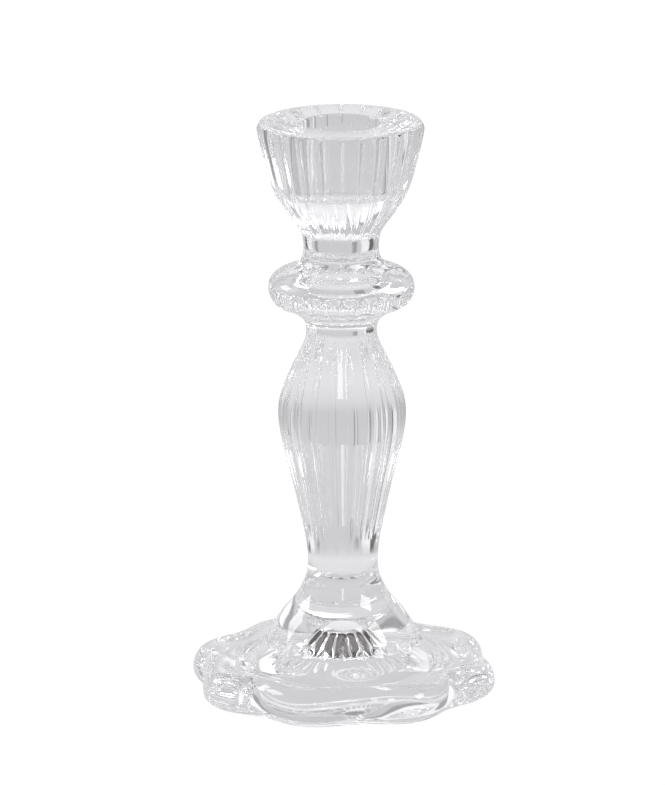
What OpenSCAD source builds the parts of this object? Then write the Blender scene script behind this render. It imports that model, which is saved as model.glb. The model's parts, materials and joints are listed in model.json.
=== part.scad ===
// Clear pressed-glass candlestick for one dinner candle.
// Six sections stand on each other along +Z: foot plate, pedestal, stem, collar, neck and
// candle cup. The origin is the middle of the resting plane. Lengths are in millimetres.

/* [Foot] */
// Radius of the foot at the top of a lobe
foot_r = 44.4; // [38:0.1:50]
// How far the notches between two lobes reach in
lobe_depth = 3.9; // [0:0.1:6]
// Number of lobes round the rim of the foot
lobes = 8; // [6:1:12]
// Height of the thick rounded rim of the foot
rim_h = 11; // [9:0.5:13]
// Height of the seat that the pedestal stands on
seat_h = 14.5; // [13:0.5:18]
// Radius of the foot's seat and of the pedestal's lower edge
seat_r = 22.8; // [21:0.1:25]
// Number of ribs in the crown of the hollow under the foot
hollow_ribs = 16; // [8:1:24]

/* [Pedestal] */
// Height of the pedestal
pedestal_h = 23.5; // [18:0.5:30]
// Height of the ribbed crown of the hollow, which reaches up into the pedestal
hollow_h = 15.8; // [15:0.1:17]

/* [Stem] */
// Height of the baluster stem
stem_h = 72.3; // [50:0.1:100]
// Largest radius of the stem
stem_r = 18.3; // [15:0.1:21]
// Radius of the narrow lower end of the stem, which is also the pedestal's top
waist_r = 10; // [8:0.1:11]
// Number of flutes round the stem
stem_flutes = 18; // [12:1:24]
// Depth of a flute where the stem is widest
stem_flute_depth = 0.65; // [0:0.05:1.3]

/* [Collar and neck] */
// Height of the collar
collar_h = 15.2; // [12:0.1:18]
// Largest radius of the collar
collar_r = 20.8; // [18:0.1:24]
// Number of teeth round the lower shoulder of the collar
collar_teeth = 24; // [12:1:32]
// Height of the neck
neck_h = 7.5; // [5:0.1:12]
// Radius of the narrowest part of the neck
neck_r = 10.7; // [9:0.1:11]

/* [Candle cup] */
// Height of the candle cup
cup_h = 34; // [32:0.5:42]
// Outer radius of the candle cup under its lip
cup_r = 23.8; // [20:0.1:27]
// Bore of the candle socket, for a 22 mm candle
socket_d = 22.6; // [20:0.1:24]
// Depth of the candle socket
socket_depth = 20; // [16:0.5:22]
// Number of flutes round the cup
cup_flutes = 24; // [16:1:36]
// Depth of a flute where the cup is widest
cup_flute_depth = 0.7; // [0:0.1:1.2]

/* [Hidden] */

pedestal_z = seat_h;
stem_z = pedestal_z + pedestal_h;
collar_z = stem_z + stem_h;
neck_z = collar_z + collar_h;
cup_z = neck_z + neck_h;
top_z = cup_z + cup_h;

crease_r = 10;           // narrowest radius of the stem, under the collar
collar_bottom_r = 11.6;  // where the collar meets the stem
collar_top_r = 12.6;     // where the collar meets the neck
cup_bottom_r = 10.9;     // where the neck meets the cup
base_inner_r = 27;       // inner radius of the ring that the foot rests on
plate_hollow_h = 10.4;   // height of the hollow round its crown
crown_r = 7.6;           // radius of the crown of the hollow
rib_depth = 0.8;         // depth of the ribs in the crown
flute_fullness = 4;      // how flat the middle of a flute of the stem or the cup is
stem_turn = -5;          // angle of an edge of a flute of the stem
tooth_depth = 0.85;      // depth of the notches between the collar's teeth
cup_flute_fade = 1.2;    // the cup's flutes reach their depth over this height
lip_r = 2.4;             // radius of the rounded lip of the cup
lip_steps = 4;           // rings along the quarter round of the lip
dish_depth = 0.5;        // the cup's top falls this much towards the socket
mouth_r = 0.8;           // rounding of the socket's mouth
eps = 0.01;
glass = [0.86, 0.91, 0.92, 0.55];
$fn = 96;

// ---- Curves ----

// A point on a Catmull-Rom curve between b and c.
function between(a, b, c, d, t) =
    0.5 * (2 * b + (c - a) * t + (2 * a - 5 * b + 4 * c - d) * t * t
        + (3 * b - a - 3 * c + d) * t * t * t);

// A smooth curve through the points p, with some steps from each to the next.
function smooth(p, steps) = [
    for (i = [0 : len(p) - 2], s = [0 : steps - 1])
        between(p[max(i - 1, 0)], p[i], p[i + 1], p[min(i + 2, len(p) - 1)], s / steps),
    p[len(p) - 1]
];

// Rises smoothly from 0 at a to 1 at b.
function ramp(x, a, b) = let (t = min(max((x - a) / (b - a), 0), 1)) t * t * (3 - 2 * t);

// How deep a flute is across its width: 0 at an edge and 1 in its middle, which is flatter the
// larger fullness is.
function flute(turns, fullness = 2) =
    let (t = turns - floor(turns)) 1 - pow(abs(2 * t - 1), fullness);

// Outlines of the sections from bottom to top, as [radius, height] pairs.
function pedestal_outline(steps) = smooth([
    [seat_r, 0], [0.902 * seat_r, 0.17 * pedestal_h], [0.75 * seat_r, 0.387 * pedestal_h],
    [0.62 * seat_r, 0.536 * pedestal_h], [1.14 * waist_r, 0.736 * pedestal_h],
    [1.02 * waist_r, 0.894 * pedestal_h], [waist_r, pedestal_h]], steps);
function stem_outline(steps) = smooth([
    [waist_r, 0], [1.035 * waist_r, 0.069 * stem_h], [0.7 * stem_r, 0.238 * stem_h],
    [0.85 * stem_r, 0.4 * stem_h], [0.968 * stem_r, 0.526 * stem_h], [stem_r, 0.6 * stem_h],
    [0.98 * stem_r, 0.664 * stem_h], [0.87 * stem_r, 0.747 * stem_h],
    [0.72 * stem_r, 0.83 * stem_h], [0.585 * stem_r, 0.9 * stem_h],
    [crease_r, 0.947 * stem_h], [1.07 * crease_r, 0.982 * stem_h], [collar_bottom_r, stem_h]], steps);
function collar_outline(steps) = smooth([
    [collar_bottom_r, 0], [0.73 * collar_r, 0.15 * collar_h], [0.923 * collar_r, 0.276 * collar_h],
    [collar_r, 0.533 * collar_h], [0.957 * collar_r, 0.737 * collar_h],
    [0.87 * collar_r, 0.842 * collar_h], [0.72 * collar_r, 0.928 * collar_h],
    [collar_top_r, collar_h]], steps);
function neck_outline(steps) = smooth([
    [collar_top_r, 0], [1.075 * neck_r, 0.16 * neck_h], [neck_r, 0.6 * neck_h],
    [cup_bottom_r, neck_h]], steps);
function cup_outline(steps) = smooth([
    [cup_bottom_r, 0], [0.508 * cup_r, 0.088 * cup_h], [0.647 * cup_r, 0.224 * cup_h],
    [0.773 * cup_r, 0.362 * cup_h], [0.853 * cup_r, 0.5 * cup_h], [0.929 * cup_r, 0.706 * cup_h],
    [0.981 * cup_r, 0.853 * cup_h], [cup_r, cup_h - lip_r]], steps);

// The quarter round from the cup's wall to its top.
function lip_outline() = [
    for (i = [1 : lip_steps]) let (a = 90 * i / lip_steps)
        [cup_r - lip_r * (1 - cos(a)), cup_h - lip_r * (1 - sin(a))]];

// The hollow under the foot, from the resting plane to the top of its crown.
function hollow_outline(steps) = smooth([
    [base_inner_r, -eps], [0.9 * base_inner_r, 0.23 * plate_hollow_h],
    [0.76 * base_inner_r, 0.48 * plate_hollow_h], [0.58 * base_inner_r, 0.72 * plate_hollow_h],
    [1.4 * crown_r, 0.93 * plate_hollow_h],
    [1.1 * crown_r, 1.02 * plate_hollow_h], [0.93 * crown_r, 0.76 * hollow_h],
    [0.76 * crown_r, 0.88 * hollow_h], [0.58 * crown_r, 0.97 * hollow_h],
    [0.4 * crown_r, hollow_h]], steps);

// The foot's outline from its outer resting edge over the rim to the seat. w is 1 on a lobe
// and 0 in a notch.
function foot_outline(w, steps) =
    let (r = foot_r - lobe_depth * (1 - w), crest = 0.86 * r)
    smooth([
        [0.925 * r, 0], [0.985 * r, 0.18 * rim_h], [r, 0.5 * rim_h], [0.955 * r, 0.86 * rim_h],
        [crest, rim_h], [0.79 * r, 0.88 * rim_h], [0.74 * r, 0.86 * rim_h],
        [seat_r + 4, 0.4 * seat_h + 0.576 * rim_h], [seat_r, seat_h]], steps);

// ---- Ringed solids ----

// A closed solid through rings of equal length, from the lowest or outermost to the last.
module ringed(rings) {
    n = len(rings[0]);
    last = len(rings) - 1;
    sides = [
        for (k = [0 : last - 1], i = [0 : n - 1])
            let (j = (i + 1) % n, a = k * n + i, b = k * n + j, c = b + n, d = a + n)
                each [[a, c, b], [a, d, c]]];
    bottom = [for (i = [0 : n - 1]) i];
    top = [for (i = [n - 1 : -1 : 0]) last * n + i];
    polyhedron(points = [for (ring = rings) each ring], faces = concat(sides, [bottom, top]));
}

// Rings along an outline. Flutes are cut between two heights and fade out over fade
// millimetres at both ends. Their depth is reached at the radius full_r and is in proportion to
// the radius. One edge of a flute lies at the angle turn.
function fluted_rings(
    outline, flutes, per_flute, depth, full_r, from, to, fade, fullness = 2, turn = 0) = [
    for (p = outline)
        let (share = ramp(p[1], from, from + fade) * (1 - ramp(p[1], to - fade, to)),
            cut = depth * share * p[0] / full_r)
            [for (i = [0 : flutes * per_flute - 1])
                let (a = turn + 360 * i / (flutes * per_flute),
                    r = p[0] - cut * flute(i / per_flute, fullness))
                        [r * cos(a), r * sin(a), p[1]]]];

// Rings of the cup. Its flutes end in arches in the rounding of the lip.
function cup_rings(outline, per_flute) = [
    for (p = outline)
        let (depth = cup_flute_depth * p[0] / cup_r * ramp(p[1], 0, cup_flute_fade),
            in_lip = max(p[1] - cup_h + lip_r, 0))
            [for (i = [0 : cup_flutes * per_flute - 1])
                let (cut = depth * flute(i / per_flute, flute_fullness),
                    a = 360 * i / (cup_flutes * per_flute),
                    r = p[0] - (in_lip > 0 ? max(cut - cup_r + p[0], 0) : cut))
                        [r * cos(a), r * sin(a), p[1]]]];

// The ribbed hollow that is cut out of the foot plate and the pedestal.
module hollow() {
    ringed(fluted_rings(hollow_outline(1), hollow_ribs, 6, rib_depth, crown_r,
        0.92 * plate_hollow_h, hollow_h, 0.16 * plate_hollow_h));
}

// ---- Sections ----

// Scalloped ring with a thick rim. It is open in the middle, under the pedestal.
module foot_plate() {
    per_lobe = 14;
    n = lobes * per_lobe;
    outlines = [
        for (i = [0 : n - 1]) foot_outline(0.5 + 0.5 * cos(360 * i / per_lobe), 2)];
    rings = [
        for (k = [0 : len(outlines[0]) - 1])
            [for (i = [0 : n - 1])
                let (a = 360 * i / n, p = outlines[i][k]) [p[0] * cos(a), p[0] * sin(a), p[1]]]];
    color(glass)
        difference() {
            ringed(rings);
            hollow();
        }
}

// Bell-shaped pedestal over the crown of the hollow.
module pedestal() {
    color(glass)
        difference() {
            translate([0, 0, pedestal_z])
                rotate_extrude() polygon(concat([[0, 0]], pedestal_outline(3), [[0, pedestal_h]]));
            hollow();
        }
}

// Fluted baluster with plain ends.
module stem() {
    color(glass)
        translate([0, 0, stem_z])
            ringed(fluted_rings(stem_outline(2), stem_flutes, 6, stem_flute_depth, stem_r,
                0.05 * stem_h, 0.94 * stem_h, 0.13 * stem_h, flute_fullness, stem_turn));
}

// Fat disc with teeth round its lower shoulder.
module collar() {
    color(glass)
        translate([0, 0, collar_z])
            ringed(fluted_rings(collar_outline(2), collar_teeth, 5, tooth_depth, collar_r,
                0.11 * collar_h, 0.64 * collar_h, 0.14 * collar_h));
}

// Plain waist between the collar and the cup.
module neck() {
    color(glass)
        translate([0, 0, neck_z])
            rotate_extrude() polygon(concat([[0, 0]], neck_outline(3), [[0, neck_h]]));
}

// The socket's mouth: a shallow fall from the lip and a rounded edge into the bore.
module mouth() {
    inner = socket_d / 2 + mouth_r;
    edge = top_z - dish_depth;
    rotate_extrude()
        polygon(concat(
            [[0, edge - mouth_r]],
            [for (a = [0 : 30 : 90])
                [inner - mouth_r * cos(a), edge - mouth_r * (1 - sin(a))]],
            [[cup_r - lip_r - 1, top_z + eps], [0, top_z + eps]]));
}

// Fluted cup with a rounded lip and the bore for the candle.
module candle_cup() {
    color(glass)
        difference() {
            translate([0, 0, cup_z])
                ringed(cup_rings(concat(cup_outline(2), lip_outline()), 6));
            translate([0, 0, top_z - socket_depth])
                cylinder(d = socket_d, h = socket_depth + 1);
            mouth();
        }
}

foot_plate();
pedestal();
stem();
collar();
neck();
candle_cup();
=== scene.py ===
import json
from math import cos, pi, radians, sin

import bpy
import numpy as np
from mathutils import Matrix, Vector


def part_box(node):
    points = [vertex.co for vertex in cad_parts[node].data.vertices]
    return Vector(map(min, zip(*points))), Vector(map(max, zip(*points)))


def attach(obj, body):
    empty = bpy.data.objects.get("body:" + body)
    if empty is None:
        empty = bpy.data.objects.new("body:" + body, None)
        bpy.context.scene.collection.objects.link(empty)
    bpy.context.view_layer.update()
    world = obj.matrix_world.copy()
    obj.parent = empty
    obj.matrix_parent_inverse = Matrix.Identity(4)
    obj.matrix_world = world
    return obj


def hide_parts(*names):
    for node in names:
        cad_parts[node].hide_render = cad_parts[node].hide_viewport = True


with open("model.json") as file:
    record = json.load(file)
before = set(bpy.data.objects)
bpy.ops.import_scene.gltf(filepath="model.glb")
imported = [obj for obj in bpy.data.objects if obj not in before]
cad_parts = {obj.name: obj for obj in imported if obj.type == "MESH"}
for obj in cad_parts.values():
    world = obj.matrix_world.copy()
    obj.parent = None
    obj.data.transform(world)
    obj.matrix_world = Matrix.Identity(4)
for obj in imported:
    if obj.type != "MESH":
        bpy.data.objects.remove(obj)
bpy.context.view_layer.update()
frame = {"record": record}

# Clear pressed-glass candlestick. Six glass pieces stand for the six CAD nodes. Each piece is a
# closed skin of rings round the Z axis. Lengths are in metres, and MM turns millimetres to metres.

MM = 0.001

# ---- Detail of the meshes ----

AROUND = 576  # points in a ring, a multiple of every count below
STEP = 0.48 * MM  # distance between two rings
FINE_STEP = 0.3 * MM  # the same where there is fine relief
CUP_STEP = 0.38 * MM  # the same on the outside of the neck and the cup
WALL_STEP = 2 * MM  # the same on the straight wall of the socket
SPLINE_SAMPLES = 40  # points worked out for each given point of a spline
FOOT_SAMPLES = 4  # points worked out for each ring of the foot

# ---- Counts round the axis ----

LOBES = 8
HOLLOW_RIBS = 16
SEAT_TEETH = 24
SKIRT_RIBS = 48
STEM_FLUTES = 18
COLLAR_TEETH = 24
CUP_FLUTES = 24

# ---- Radii ----

BASE_INNER_R = 27 * MM  # inner edge of the ring that the foot rests on
CROWN_R = 7.6 * MM  # crown of the hollow under the foot
SEAT_MARGIN = 4 * MM  # the foot's slope gets steeper this near to the pedestal
WAIST_R = 10 * MM  # narrow ends of the stem
COLLAR_BOTTOM_R = 11.6 * MM
COLLAR_TOP_R = 12.6 * MM
NECK_R = 10.7 * MM
CUP_BOTTOM_R = 10.9 * MM
LIP_R = 2.4 * MM  # rounding of the lip
MOUTH_R = 0.8 * MM  # rounding of the socket's mouth
FLOOR_FILLET = 2.8 * MM  # rounding between the socket's wall and its floor

# ---- Heights and depths ----

RIM_H = 11 * MM  # thick rim of the foot
HOLLOW_H = 15.8 * MM  # hollow under the foot, at the axis
FOOT_HOLLOW_H = 10.4 * MM  # the same just outside its crown
DISH_DEPTH = 0.5 * MM  # fall of the cup's top from the lip to the socket
SOCKET_DEPTH = 20 * MM
LOBE_DEPTH = 3.9 * MM
STEM_FLUTE_DEPTH = 0.65 * MM
CUP_FLUTE_DEPTH = 0.7 * MM
TOOTH_DEPTH = 0.85 * MM
RIB_DEPTH = 0.8 * MM
SKIRT_RIB_DEPTH = 0.2 * MM
CRINKLE_DEPTH = 1 * MM  # crinkled edge where the pedestal stands on the foot
CRINKLE_H = 3 * MM
CREASE_DEPTH = 0.35 * MM  # notches in the crease between the collar and the neck
CREASE_H = 1.2 * MM

# ---- Shape of the relief ----

EDGE_SOFTNESS = 0.08  # how rounded the edge between two flutes is
FLUTE_FULLNESS = 4  # how flat the middle of a flute of the stem or the cup is
FLUTE_TURN = -5  # degrees between the middle of a lobe and an edge of a flute of the stem
FLUTE_GROWS = (0.05, 0.17)  # shares of the stem's height between which its flutes grow
FLUTE_FADES = (0.8, 0.94)  # the same where they fade
FLUTE_FADED = 0.8  # share of their depth that they lose there
TEETH_GROW = (0.12, 0.24)  # shares of the collar's height between which its teeth grow
TEETH_FADE = (0.48, 0.64)  # the same where they fade
NOTCHES_GROW = (0.9, 1)  # the same for the notches in its upper crease
RIBS_GROW = (0.92 * FOOT_HOLLOW_H, 1.08 * FOOT_HOLLOW_H)  # heights of the ribs of the crown
RIBS_FADE = (0.9 * HOLLOW_H, HOLLOW_H)
RAYS_GROW = (0.4 * FOOT_HOLLOW_H, 0.8 * FOOT_HOLLOW_H)  # heights of the rays under the foot
RAYS_FADE = (0.9 * FOOT_HOLLOW_H, FOOT_HOLLOW_H)

TURNS = np.arange(AROUND) / AROUND  # place round the axis of each point of a ring, 0 to 1


# ---- Sizes from the frame ----


def bottom_of(node):
    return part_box(node)[0].z


def top_of(node):
    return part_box(node)[1].z


def radius_of(node):
    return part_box(node)[1].x


SEAT_Z = bottom_of("pedestal")
SEAT_R = radius_of("pedestal")
STEM_Z = bottom_of("stem")
COLLAR_Z = bottom_of("collar")
NECK_Z = bottom_of("neck")
CUP_Z = bottom_of("candle_cup")
TOP_Z = top_of("candle_cup")
FOOT_R = radius_of("foot_plate")
STEM_R = radius_of("stem")
COLLAR_R = radius_of("collar")
CUP_R = radius_of("candle_cup")
MOUNTS = {mount["name"]: mount for mount in frame["record"]["mounts"]}
SOCKET_R = MOUNTS["candle_socket"]["dims"]["r_mm"] * MM


# ---- Curves ----


def spline(points, step=STEP):
    """Evenly spaced points on the natural cubic spline through [radius, height] points."""
    p = np.array(points, float)
    chord = np.hypot(*np.diff(p, axis=0).T)
    t = np.concatenate([[0], np.cumsum(chord)])
    n = len(p)
    a, b = np.eye(n), np.zeros((n, 2))
    for i in range(1, n - 1):
        a[i, i - 1 : i + 2] = chord[i - 1], 2 * (chord[i - 1] + chord[i]), chord[i]
        b[i] = 6 * ((p[i + 1] - p[i]) / chord[i] - (p[i] - p[i - 1]) / chord[i - 1])
    bend = np.linalg.solve(a, b)
    fine = np.linspace(0, t[-1], SPLINE_SAMPLES * n)
    k = np.clip(np.searchsorted(t, fine, side="right") - 1, 0, n - 2)
    h, u, v = chord[k][:, None], (t[k + 1] - fine)[:, None], (fine - t[k])[:, None]
    curve = (
        bend[k] * u**3 / (6 * h)
        + bend[k + 1] * v**3 / (6 * h)
        + (p[k] / h - bend[k] * h / 6) * u
        + (p[k + 1] / h - bend[k + 1] * h / 6) * v
    )
    return even(curve, step)


def even(curve, step=STEP):
    """The same polyline with evenly spaced points."""
    along = np.concatenate([[0], np.cumsum(np.hypot(*np.diff(curve, axis=0).T))])
    s = np.linspace(0, along[-1], max(2, round(along[-1] / step) + 1))
    return np.stack([np.interp(s, along, curve[:, 0]), np.interp(s, along, curve[:, 1])], 1)


def arc(centre, radius, start, end, step=STEP / 2):
    """Points on a circular arc in the [radius, height] plane. Angles are in degrees."""
    count = max(4, round(abs(radians(end - start)) * radius / step))
    a = np.radians(np.linspace(start, end, count + 1))
    return np.stack([centre[0] + radius * np.cos(a), centre[1] + radius * np.sin(a)], 1)


def ramp(x, a, b):
    """Rises smoothly from 0 at a to 1 at b."""
    t = np.clip((x - a) / (b - a), 0, 1)
    return t * t * (3 - 2 * t)


def hill(x, rise, fall):
    """Rises smoothly from 0 to 1 over the stretch rise and falls to 0 over the stretch fall."""
    return ramp(x, *rise) * (1 - ramp(x, *fall))


def flute(count, turn=0, fullness=2):
    """Depth of the flutes round the ring: 0 at their softly rounded edges and 1 in their middles.
    One of the edges lies at the given turn, in degrees from +X. The middles are flatter the larger
    fullness is."""
    soft = EDGE_SOFTNESS
    across = 1 - abs(2 * (count * (TURNS - turn / 360) % 1) - 1) ** fullness
    return (np.sqrt(across**2 + soft**2) - soft) / (np.sqrt(1 + soft**2) - soft)


def wave(count):
    """1 at the top of each of count waves round the ring and 0 halfway between two."""
    return 0.5 + 0.5 * np.cos(2 * pi * count * TURNS)


# ---- Outlines, as [radius, height] points ----


def body_outline():
    """Pedestal and stem as one smooth curve. Heights are shares of the pedestal and of the stem."""
    ped, tall = STEM_Z - SEAT_Z, COLLAR_Z - STEM_Z
    pedestal = [
        [SEAT_R, 0], [0.902 * SEAT_R, 0.17], [0.75 * SEAT_R, 0.387],
        [0.62 * SEAT_R, 0.536], [1.14 * WAIST_R, 0.736], [1.02 * WAIST_R, 0.894],
    ]
    stem = [
        [WAIST_R, 0], [1.035 * WAIST_R, 0.069], [0.7 * STEM_R, 0.238], [0.85 * STEM_R, 0.4],
        [0.968 * STEM_R, 0.526], [STEM_R, 0.6], [0.98 * STEM_R, 0.664], [0.87 * STEM_R, 0.747],
        [0.72 * STEM_R, 0.83], [0.585 * STEM_R, 0.9], [WAIST_R, 0.947], [1.07 * WAIST_R, 0.982],
        [COLLAR_BOTTOM_R, 1],
    ]
    low = [[r, SEAT_Z + h * ped] for r, h in pedestal]
    high = [[r, STEM_Z + h * tall] for r, h in stem]
    return spline(low + high)


def collar_outline():
    """The collar between its two creases. Heights are shares of the collar."""
    tall = NECK_Z - COLLAR_Z
    outline = [
        [COLLAR_BOTTOM_R, 0], [0.73 * COLLAR_R, 0.15], [0.923 * COLLAR_R, 0.276],
        [COLLAR_R, 0.533], [0.957 * COLLAR_R, 0.737], [0.87 * COLLAR_R, 0.842],
        [0.72 * COLLAR_R, 0.928], [COLLAR_TOP_R, 1],
    ]
    return spline([[r, COLLAR_Z + h * tall] for r, h in outline], FINE_STEP)


def cup_outline():
    """Neck, cup and the quarter round of the lip. Heights are shares of the neck and of the cup."""
    low, tall = CUP_Z - NECK_Z, TOP_Z - CUP_Z
    neck = [[COLLAR_TOP_R, 0], [1.075 * NECK_R, 0.16], [NECK_R, 0.6]]
    cup = [
        [CUP_BOTTOM_R, 0], [0.508 * CUP_R, 0.088], [0.647 * CUP_R, 0.224],
        [0.773 * CUP_R, 0.362], [0.853 * CUP_R, 0.5], [0.929 * CUP_R, 0.706],
        [0.981 * CUP_R, 0.853], [CUP_R, 1 - LIP_R / tall],
    ]
    neck_points = [[r, NECK_Z + h * low] for r, h in neck]
    cup_points = [[r, CUP_Z + h * tall] for r, h in cup]
    wall = spline(neck_points + cup_points, CUP_STEP)
    lip = arc([CUP_R - LIP_R, TOP_Z - LIP_R], LIP_R, 0, 90)
    return np.concatenate([wall, lip[1:]])


def socket_outline():
    """From the lip over the shallow dish and the socket's mouth down to its flat floor."""
    edge = TOP_Z - DISH_DEPTH
    floor = TOP_Z - SOCKET_DEPTH
    inside_lip = CUP_R - LIP_R
    halfway = [0.5 * (inside_lip + SOCKET_R), TOP_Z - 0.35 * DISH_DEPTH]
    mouth = arc([SOCKET_R + MOUTH_R, edge - MOUTH_R], MOUTH_R, 90, 180)
    dish = spline([[inside_lip, TOP_Z], halfway, mouth[0]])
    fillet = arc([SOCKET_R - FLOOR_FILLET, floor + FLOOR_FILLET], FLOOR_FILLET, 0, -90)
    wall = even(np.array([mouth[-1], fillet[0]]), WALL_STEP)
    return np.concatenate([dish[:-1], mouth, wall[1:-1], fillet])


def foot_outline(r):
    """Foot from its outer resting edge over the thick rim to the seat, for a rim of radius r."""
    return [
        [0.925 * r, 0], [0.985 * r, 0.18 * RIM_H], [r, 0.5 * RIM_H], [0.955 * r, 0.86 * RIM_H],
        [0.86 * r, RIM_H], [0.79 * r, 0.88 * RIM_H], [0.74 * r, 0.86 * RIM_H],
        [SEAT_R + SEAT_MARGIN, 0.4 * SEAT_Z + 0.576 * RIM_H], [SEAT_R, SEAT_Z],
    ]


def hollow_outline():
    """The hollow under the foot, from the edge of its crown down to the resting plane."""
    inner, outer = FOOT_HOLLOW_H, BASE_INNER_R
    crown = [
        [0.4 * CROWN_R, HOLLOW_H], [0.58 * CROWN_R, 0.97 * HOLLOW_H],
        [0.76 * CROWN_R, 0.88 * HOLLOW_H], [0.93 * CROWN_R, 0.76 * HOLLOW_H],
    ]
    skirt = [
        [1.1 * CROWN_R, 1.02 * inner], [1.4 * CROWN_R, 0.93 * inner], [0.58 * outer, 0.72 * inner],
        [0.76 * outer, 0.48 * inner], [0.9 * outer, 0.23 * inner], [outer, 0],
    ]
    return spline(crown + skirt, FINE_STEP)


# ---- Ringed skins ----


def turned(outline, cut=0):
    """Rings along an outline. cut is how far each point of each ring is moved towards the axis."""
    radius = outline[:, :1] - cut
    height = np.repeat(outline[:, 1:], AROUND, axis=1)
    angle = 2 * pi * TURNS
    return np.stack([radius * np.cos(angle), radius * np.sin(angle), height], 2)


def skin_normals(rings):
    """Smooth normals of a skin of rings."""
    round_axis = np.roll(rings, -1, axis=1) - np.roll(rings, 1, axis=1)
    along = np.gradient(rings, axis=0, edge_order=2 if len(rings) > 2 else 1)
    normals = np.cross(round_axis, along)
    return normals / np.linalg.norm(normals, axis=2, keepdims=True)


class Skin:
    """Rings round the axis with smooth normals. Rings that climb have their front on the outside,
    and rings that go down have it on the side of the axis."""

    def __init__(self, rings, normals=None, slot=0):
        self.rings = rings
        self.normals = skin_normals(rings) if normals is None else normals
        self.slot = slot

    def split(self, height):
        """Two skins that share the ring nearest to the height, which is moved to it."""
        k = int(np.argmin(abs(self.rings[:, 0, 2] - height)))
        self.rings[k, :, 2] = height
        halves = (slice(0, k + 1), slice(k, None))
        return [Skin(self.rings[half], self.normals[half], self.slot) for half in halves]


def flat(ring, other, up, slot):
    """A flat band between two rings. up is 1 if it looks up and -1 if it looks down."""
    normals = np.zeros((2, AROUND, 3))
    normals[:, :, 2] = up
    return Skin(np.stack([ring, other]), normals, slot)


GLASS, SEAM = 0, 1  # material slots of each piece
HERE = np.arange(AROUND)  # each point of a ring
NEXT = (HERE + 1) % AROUND  # the point after it


def join_skins(skins):
    """Points, faces, corner normals and slots of skins that follow each other. Each skin starts at
    the last ring of the one before."""
    points, faces, normals, slots = [skins[0].rings[0]], [], [], []
    first = 0
    for skin in skins:
        k = np.arange(len(skin.rings) - 1)[:, None]
        corners = [(k, HERE), (k, NEXT), (k + 1, NEXT), (k + 1, HERE)]
        points.append(skin.rings[1:].reshape(-1, 3))
        faces.append(np.stack([(first + a) * AROUND + b for a, b in corners], 2).reshape(-1, 4))
        normals.append(np.stack([skin.normals[a, b] for a, b in corners], 2).reshape(-1, 3))
        slots.append(np.full(len(faces[-1]), skin.slot))
        first += len(k)
    return [np.concatenate(part) for part in (points, faces, normals, slots)]


def end_disc(edge, centre, up):
    """Faces and corner normals of a flat disc. Its edge is the ring whose first point is edge, and
    centre is its middle point. up is 1 if it looks up and -1 if it looks down."""
    side, other = (HERE, NEXT) if up == 1 else (NEXT, HERE)
    faces = np.stack([side + edge, other + edge, np.full(AROUND, centre)], 1)
    return faces, np.tile([0.0, 0.0, up], (3 * AROUND, 1))


def build_piece(name, skins, start=None, end=None):
    """A closed mesh from skins that follow each other. start and end are the slots of the discs
    that close it at the axis: the first looks down and the second looks up. Without them the last
    skin ends at the first ring."""
    points, faces, normals, slots = join_skins(skins)
    last = len(points) - AROUND
    if start is None:
        points = points[:last]
        faces = np.where(faces >= last, faces - last, faces)
        discs = ()
    else:
        discs = ((start, 0, -1), (end, last, 1))
    faces = faces.tolist()
    for slot, edge, up in discs:
        disc_faces, disc_normals = end_disc(edge, len(points), up)
        points = np.concatenate([points, [[0, 0, points[edge, 2]]]])
        faces += disc_faces.tolist()
        normals = np.concatenate([normals, disc_normals])
        slots = np.concatenate([slots, np.full(AROUND, slot)])
    mesh = bpy.data.meshes.new(name)
    mesh.from_pydata(points.tolist(), [], faces)
    mesh.polygons.foreach_set("use_smooth", np.ones(len(faces), bool))
    mesh.polygons.foreach_set("material_index", slots.astype(np.int32))
    mesh.normals_split_custom_set(normals.tolist())
    mesh.update()
    piece = bpy.data.objects.new(name, mesh)
    bpy.context.scene.collection.objects.link(piece)
    return piece


# ---- Skins of the object ----


def foot_skin(seat_ring):
    """Scalloped foot with a thick rounded rim, from its outer resting edge to the seat."""
    lobe = np.round(wave(LOBES), 9)  # equal places of the lobes share one outline
    fine = STEP / FOOT_SAMPLES
    lines = {w: spline(foot_outline(FOOT_R - LOBE_DEPTH * (1 - w)), fine) for w in set(lobe)}
    count = len(lines[1.0]) // FOOT_SAMPLES
    rings = np.zeros((count, AROUND, 3))
    for i, w in enumerate(lobe):
        line = lines[w]
        place = np.linspace(0, len(line) - 1, count)
        r, z = (np.interp(place, np.arange(len(line)), line[:, axis]) for axis in (0, 1))
        angle = 2 * pi * TURNS[i]
        rings[:, i] = np.stack([r * cos(angle), r * sin(angle), z], 1)
    widest = np.hypot(rings[:, :, 0], rings[:, :, 1]).max()
    rings[:, :, :2] *= FOOT_R / widest
    rings[-1] = seat_ring
    return Skin(rings)


def body_skin():
    """Pedestal and stem. The flutes are deepest where the stem is widest and fade at both ends."""
    outline = body_outline()
    r, z = outline[:, :1], outline[:, 1:]
    up = (z - STEM_Z) / (COLLAR_Z - STEM_Z)
    share = r / STEM_R * ramp(up, *FLUTE_GROWS) * (1 - FLUTE_FADED * ramp(up, *FLUTE_FADES))
    flutes = STEM_FLUTE_DEPTH * share * flute(STEM_FLUTES, FLUTE_TURN, FLUTE_FULLNESS)
    crinkle = CRINKLE_DEPTH * (1 - ramp(z, SEAT_Z, SEAT_Z + CRINKLE_H)) * flute(SEAT_TEETH)
    return Skin(turned(outline, flutes + crinkle))


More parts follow.
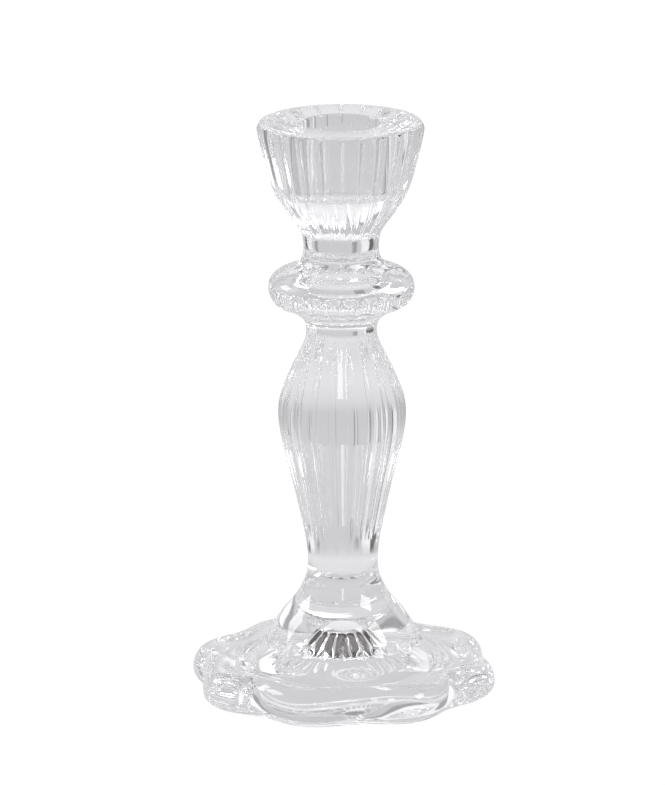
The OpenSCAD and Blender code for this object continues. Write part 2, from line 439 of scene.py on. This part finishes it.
def collar_skin(first_ring):
    """Fat disc with teeth round its lower shoulder and a finely notched upper crease."""
    outline = collar_outline()
    up = (outline[:, 1:] - COLLAR_Z) / (NECK_Z - COLLAR_Z)
    teeth = TOOTH_DEPTH * hill(up, TEETH_GROW, TEETH_FADE) * flute(COLLAR_TEETH)
    notch = CREASE_DEPTH * ramp(up, *NOTCHES_GROW) * flute(CUP_FLUTES)
    rings = turned(outline, teeth + notch)
    rings[0] = first_ring
    return Skin(rings)


def cup_skin():
    """Neck, fluted cup and lip. The flutes end in arches in the rounding of the lip."""
    outline = cup_outline()
    r, z = outline[:, :1], outline[:, 1:]
    notch = CREASE_DEPTH * (1 - ramp(z, NECK_Z, NECK_Z + CREASE_H)) * flute(CUP_FLUTES)
    share = r / CUP_R * ramp(z, CUP_Z, CUP_Z + CREASE_H)
    wall = CUP_FLUTE_DEPTH * share * flute(CUP_FLUTES, 0, FLUTE_FULLNESS)
    lip = np.maximum(wall - (CUP_R - r), 0)
    return Skin(turned(outline, notch + np.where(z > TOP_Z - LIP_R, lip, wall)))


def hollow_skin():
    """The hollow from its crown outwards. The crown has ribs, and shallow rays run out from it."""
    outline = hollow_outline()
    z = outline[:, 1:]
    ribs = RIB_DEPTH * hill(z, RIBS_GROW, RIBS_FADE) * flute(HOLLOW_RIBS)
    rays = SKIRT_RIB_DEPTH * hill(z, RAYS_GROW, RAYS_FADE) * flute(SKIRT_RIBS)
    return Skin(turned(outline, ribs + rays))


# ---- Nodes ----


def new_material(name):
    material = bpy.data.materials.new(name)
    material.use_nodes = True
    material.node_tree.nodes.clear()
    return material, material.node_tree


def rescaled(tree, value, low, high, top=1):
    """Nodes that turn a value between low and high into one between 0 and top."""
    scale = tree.nodes.new("ShaderNodeMapRange")
    scale.inputs["From Min"].default_value = low
    scale.inputs["From Max"].default_value = high
    scale.inputs["To Max"].default_value = top
    tree.links.new(value, scale.inputs["Value"])
    return scale.outputs["Result"]


def vector_maths(tree, operation, vector, other=(0, 0, 0)):
    """A node that works on a vector, and on a second one where the operation needs it."""
    maths = tree.nodes.new("ShaderNodeVectorMath")
    maths.operation = operation
    maths.inputs[1].default_value = other
    tree.links.new(vector, maths.inputs[0])
    return maths


def noise(tree, place, scale, detail):
    cloud = tree.nodes.new("ShaderNodeTexNoise")
    cloud.inputs["Scale"].default_value = scale
    cloud.inputs["Detail"].default_value = detail
    tree.links.new(place, cloud.inputs["Vector"])
    return cloud.outputs["Fac"]


def product(tree, a, b):
    times = tree.nodes.new("ShaderNodeMath")
    times.operation = "MULTIPLY"
    tree.links.new(a, times.inputs[0])
    tree.links.new(b, times.inputs[1])
    return times.outputs["Value"]


def grey_ramp(tree, value, stops):
    """Nodes that turn a value between 0 and 1 into a brightness, given as [value, brightness]."""
    ramp_node = tree.nodes.new("ShaderNodeValToRGB")
    elements = ramp_node.color_ramp.elements
    ramp_node.color_ramp.interpolation = "EASE"
    while len(elements) < len(stops):
        elements.new(0.5)
    for element, (place, level) in zip(elements, stops):
        element.position = place
        element.color = (level, level, level, 1)
    tree.links.new(value, ramp_node.inputs["Fac"])
    return ramp_node.outputs["Color"]


def camera_or_glass(tree, seen, through):
    """Nodes that show one shader to the camera itself and another to the light in the glass."""
    path = tree.nodes.new("ShaderNodeLightPath")
    mix = tree.nodes.new("ShaderNodeMixShader")
    tree.links.new(path.outputs["Is Camera Ray"], mix.inputs["Fac"])
    tree.links.new(through, mix.inputs[1])
    tree.links.new(seen, mix.inputs[2])
    return mix.outputs["Shader"]


# ---- Materials ----

CLEAR = (0.985, 0.985, 0.99, 1)
PAINTED_SHADE = (0.1, 0.09, 0.09, 1)  # painted shade at the hollow's crown, where the real piece looks nearly black
SHADE_MIDDLE = (0, 0, 0.8 * HOLLOW_H)
SHADE_EDGE = (1.2 * CROWN_R, 0.9 * CROWN_R)  # distances from there between which the painted shade fades in
MIX_FACTOR, MIX_A, MIX_B, MIX_RESULT = 0, 6, 7, 2  # sockets of a Mix node that mixes colours

IOR = 1.5
WAVE_SCALE, WAVE_DETAIL = 110, 1.5
WAVE_STRENGTH = 0.2
WAVE_HEIGHT = 0.03 * MM
SMEAR_SCALE, SMEAR_DETAIL = 60, 2
SMEAR_RANGE = (0.35, 0.75)  # values of the noise between which the glass gets rougher
SMEAR_ROUGHNESS = 0.006


def crown_painted_shade(tree, place):
    """Nodes for the colour of the glass, which is clear and has painted shade at the crown of the
    hollow.
    """
    # painted shade: the glass is darkened near the crown of the hollow
    away = vector_maths(tree, "DISTANCE", place, SHADE_MIDDLE).outputs["Value"]
    colour = tree.nodes.new("ShaderNodeMix")
    colour.data_type = "RGBA"
    colour.inputs[MIX_A].default_value = CLEAR
    colour.inputs[MIX_B].default_value = PAINTED_SHADE
    tree.links.new(rescaled(tree, away, *SHADE_EDGE), colour.inputs[MIX_FACTOR])
    return colour.outputs[MIX_RESULT]


def surface_waves(tree, place):
    """Nodes for the faint waves of the surface."""
    bump = tree.nodes.new("ShaderNodeBump")
    bump.inputs["Strength"].default_value = WAVE_STRENGTH
    bump.inputs["Distance"].default_value = WAVE_HEIGHT
    tree.links.new(noise(tree, place, WAVE_SCALE, WAVE_DETAIL), bump.inputs["Height"])
    return bump.outputs["Normal"]


def glass_material():
    """Clear soda-lime glass with the faint waves and smears of a fire-polished pressing, and
    painted shade at the crown of its hollow.
    """
    material, tree = new_material("clear_glass")
    out = tree.nodes.new("ShaderNodeOutputMaterial")
    shader = tree.nodes.new("ShaderNodeBsdfPrincipled")
    shader.inputs["Base Color"].default_value = CLEAR
    shader.inputs["Transmission Weight"].default_value = 1
    shader.inputs["IOR"].default_value = IOR
    place = tree.nodes.new("ShaderNodeTexCoord").outputs["Object"]
    smears = noise(tree, place, SMEAR_SCALE, SMEAR_DETAIL)
    rough = rescaled(tree, smears, *SMEAR_RANGE, SMEAR_ROUGHNESS)
    # the base colour carries the painted shade at the crown of the hollow
    tree.links.new(crown_painted_shade(tree, place), shader.inputs["Base Color"])
    tree.links.new(rough, shader.inputs["Roughness"])
    tree.links.new(surface_waves(tree, place), shader.inputs["Normal"])
    tree.links.new(shader.outputs["BSDF"], out.inputs["Surface"])
    return material


def seam_material():
    """The flat ends where two pieces of the one glass body meet. Light goes straight through."""
    material, tree = new_material("glass_seam")
    out = tree.nodes.new("ShaderNodeOutputMaterial")
    shader = tree.nodes.new("ShaderNodeBsdfTransparent")
    tree.links.new(shader.outputs["BSDF"], out.inputs["Surface"])
    return material


# ---- Studio ----

ROOM_COLOUR = (0.985, 0.98, 1.0, 1)
WHITE = (1, 1, 1, 1)
BACKDROP_TURN = 172  # degrees round the object from the camera to the middle of the backdrop

# Brightness of the room by the sine of the height
HEIGHT_LIGHT = ((0, 0.64), (0.1, 0.66), (0.35, 0.95), (0.6, 0.8), (0.9, 0.7))
# Brightness round the object, from opposite the backdrop (0) to the middle of the backdrop (1)
ROOM_LIGHT = (
    (0.2, 0.75), (0.5, 0.8), (0.78, 0.8), (0.81, 0.45), (0.84, 0.45), (0.86, 1.3), (0.92, 1.3),
    (0.94, 1),
)
# The same for the floor in the glass, as a factor on FLOOR_LIGHT
FLOOR_BANDS = (
    (0.2, 0.75), (0.5, 0.8), (0.77, 0.8), (0.8, 0.15), (0.85, 0.15), (0.865, 1.5), (0.92, 1.5),
    (0.935, 1), (0.95, 1), (0.957, 0.55), (0.967, 0.55), (0.974, 1),
)
# Brightness of the floor by its distance from the axis, in metres
FLOOR_LIGHT = ((0.03, 0.65), (0.06, 0.78), (0.15, 0.8), (0.3, 0.63), (0.8, 0.62))
BANDS_START = (0.22, 0.32)  # the floor's bands fade in between these distances, in metres

FLOOR_RADIUS = 1.5
FLOOR_SIDES = 96
FLOOR_DROP = 0.3 * MM  # how far the floor lies below the foot
FLOOR_GLOW = 0.97
FLOOR_GREY = (0.06, 0.06, 0.06, 1)  # what catches the faint shadow

WINDOW_AWAY = 1.0  # metres from the middle of the object
WINDOWS = (  # name, turn and rise in degrees, width and height in metres, radiance
    ("right_window", 67, 38, 0.4, 0.32, 7),
    ("left_window", -110, 28, 0.35, 0.3, 5),
    ("front_window", -1, 33, 0.08, 0.28, 5),
)

CAMERA_TURN = 15  # degrees round the object from the -Y side
CAMERA_RISE = 14.3  # degrees
CAMERA_ROLL = 0.32  # degrees
CAMERA_AWAY = 2.3  # metres
CAMERA_LENS = 370  # millimetres
CAMERA_CLIP = (0.1, 50)  # nearest and farthest distance that it sees, in metres
AIM_SIDE = -2.7 * MM  # the point that it looks at, to the right of the axis
AIM_H = 87.6 * MM


def direction(turn, rise):
    """Unit vector from the object. turn and rise are in degrees, and turn goes round the object
    from the camera towards the camera's right."""
    a, e = radians(CAMERA_TURN + turn), radians(rise)
    return Vector((sin(a) * cos(e), -cos(a) * cos(e), sin(e)))


def add_camera():
    data = bpy.data.cameras.new("camera")
    data.lens = CAMERA_LENS
    camera = bpy.data.objects.new("camera", data)
    back = direction(0, CAMERA_RISE)
    side = direction(90, 0)
    aim = side * AIM_SIDE + Vector((0, 0, AIM_H))
    camera.location = aim + back * CAMERA_AWAY
    look = (-back).to_track_quat("-Z", "Y").to_matrix()
    roll = Matrix.Rotation(radians(-CAMERA_ROLL), 3, "Z")
    camera.rotation_euler = (look @ roll).to_euler()
    data.clip_start, data.clip_end = CAMERA_CLIP
    bpy.context.scene.collection.objects.link(camera)
    bpy.context.scene.camera = camera


def add_window(name, turn, rise, width, height, radiance):
    """A rectangular soft light that looks at the middle of the object."""
    data = bpy.data.lights.new(name, "AREA")
    data.shape = "RECTANGLE"
    data.size, data.size_y = width, height
    data.energy = radiance * pi * width * height
    light = bpy.data.objects.new(name, data)
    middle = Vector((0, 0, TOP_Z / 2))
    light.location = middle + direction(turn, rise) * WINDOW_AWAY
    light.rotation_euler = direction(turn, rise).to_track_quat("Z", "Y").to_euler()
    light.visible_camera = False
    bpy.context.scene.collection.objects.link(light)


def toward(tree, way, goal, low, high):
    """Nodes that rise from 0 to 1 as the cosine between a direction and the goal goes from low to
    high."""
    cosine = vector_maths(tree, "DOT_PRODUCT", way, goal).outputs["Value"]
    return rescaled(tree, cosine, low, high)


def round_light(tree, way, stops):
    """Nodes for how the light changes round the object: a pale backdrop with bright and dark bands
    at its sides, and a dimmer room behind the camera."""
    return grey_ramp(tree, toward(tree, way, direction(BACKDROP_TURN, 0), -1, 1), stops)


def background(tree, colour):
    shader = tree.nodes.new("ShaderNodeBackground")
    shader.inputs["Color"].default_value = colour
    return shader


def add_world():
    """Soft studio round the object, which looks plain white to the camera itself."""
    world = bpy.data.worlds.new("studio")
    world.use_nodes = True
    tree = world.node_tree
    tree.nodes.clear()
    way = tree.nodes.new("ShaderNodeTexCoord").outputs["Generated"]
    out = tree.nodes.new("ShaderNodeOutputWorld")
    room = background(tree, ROOM_COLOUR)
    white = background(tree, WHITE)
    height = grey_ramp(tree, toward(tree, way, (0, 0, 1), 0, 1), HEIGHT_LIGHT)
    strength = product(tree, height, round_light(tree, way, ROOM_LIGHT))
    tree.links.new(strength, room.inputs["Strength"])
    both = camera_or_glass(tree, white.outputs["Background"], room.outputs["Background"])
    tree.links.new(both, out.inputs["Surface"])
    bpy.context.scene.world = world


def floor_strength(tree):
    """Nodes for the light of the floor in the glass. It changes with the distance, and farther out
    it has bands like those of the room."""
    place = tree.nodes.new("ShaderNodeTexCoord").outputs["Object"]
    away = vector_maths(tree, "LENGTH", place).outputs["Value"]
    way = vector_maths(tree, "NORMALIZE", place).outputs["Vector"]
    bands = tree.nodes.new("ShaderNodeMix")
    bands.inputs["A"].default_value = 1
    tree.links.new(rescaled(tree, away, *BANDS_START), bands.inputs["Factor"])
    tree.links.new(round_light(tree, way, FLOOR_BANDS), bands.inputs["B"])
    return product(tree, grey_ramp(tree, away, FLOOR_LIGHT), bands.outputs["Result"])


def floor_material():
    """Near-white with a faint shadow for the camera, and pale grey with painted bands of light and
    shade in the glass.
    """
    material, tree = new_material("pale_floor")
    out = tree.nodes.new("ShaderNodeOutputMaterial")
    glow = tree.nodes.new("ShaderNodeEmission")
    glow.inputs["Strength"].default_value = FLOOR_GLOW
    matt = tree.nodes.new("ShaderNodeBsdfDiffuse")
    matt.inputs["Color"].default_value = FLOOR_GREY
    seen = tree.nodes.new("ShaderNodeAddShader")
    through = tree.nodes.new("ShaderNodeEmission")
    through.inputs["Color"].default_value = ROOM_COLOUR
    tree.links.new(glow.outputs["Emission"], seen.inputs[0])
    tree.links.new(matt.outputs["BSDF"], seen.inputs[1])
    # painted light and shade: the floor glows in bands, seen only through the glass
    tree.links.new(floor_strength(tree), through.inputs["Strength"])
    both = camera_or_glass(tree, seen.outputs["Shader"], through.outputs["Emission"])
    tree.links.new(both, out.inputs["Surface"])
    return material


def add_floor():
    """Plain pale disc, just below the foot."""
    angles = [2 * pi * i / FLOOR_SIDES for i in range(FLOOR_SIDES)]
    corners = [(FLOOR_RADIUS * cos(a), FLOOR_RADIUS * sin(a), -FLOOR_DROP) for a in angles]
    mesh = bpy.data.meshes.new("floor")
    mesh.from_pydata(corners, [], [list(range(FLOOR_SIDES))])
    mesh.materials.append(floor_material())
    floor = bpy.data.objects.new("floor", mesh)
    bpy.context.scene.collection.objects.link(floor)


# ---- The object ----


def build_candlestick():
    glass, seam = glass_material(), seam_material()
    body, cup, hollow = body_skin(), cup_skin(), hollow_skin()
    collar = collar_skin(body.rings[-1])
    foot = foot_skin(body.rings[0])
    socket = Skin(turned(socket_outline()))
    crown, skirt = hollow.split(SEAT_Z)
    base = flat(skirt.rings[-1], foot.rings[0], -1, GLASS)
    seat = flat(foot.rings[-1], skirt.rings[0], 1, SEAM)
    under = flat(crown.rings[-1], body.rings[0], -1, SEAM)
    pedestal, stem = body.split(STEM_Z)
    neck, wall = cup.split(CUP_Z)
    pieces = {
        "foot_plate": build_piece("foot_glass", [foot, seat, skirt, base]),
        "pedestal": build_piece("pedestal_glass", [crown, under, pedestal], GLASS, SEAM),
        "stem": build_piece("stem_glass", [stem], SEAM, SEAM),
        "collar": build_piece("collar_glass", [collar], SEAM, SEAM),
        "neck": build_piece("neck_glass", [neck], SEAM, SEAM),
        "candle_cup": build_piece("cup_glass", [wall, socket], SEAM, GLASS),
    }
    for node, piece in pieces.items():
        piece.data.materials.append(glass)
        piece.data.materials.append(seam)
        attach(piece, "root")
        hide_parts(node)


# ---- Light paths and sizes ----

BOUNCES = 32  # light passes many glass faces on its way through
GLOSSY_BOUNCES = 16
SEAM_BOUNCES = 64  # the seams between the pieces count apart


def set_light_paths():
    """Clear glass needs many bounces, and its colours are shown as they are."""
    scene = bpy.context.scene
    scene.cycles.max_bounces = BOUNCES
    scene.cycles.transmission_bounces = BOUNCES
    scene.cycles.glossy_bounces = GLOSSY_BOUNCES
    scene.cycles.transparent_max_bounces = SEAM_BOUNCES
    scene.view_settings.view_transform = "Standard"


build_candlestick()
add_floor()
add_world()
for window in WINDOWS:
    add_window(*window)
add_camera()
set_light_paths()
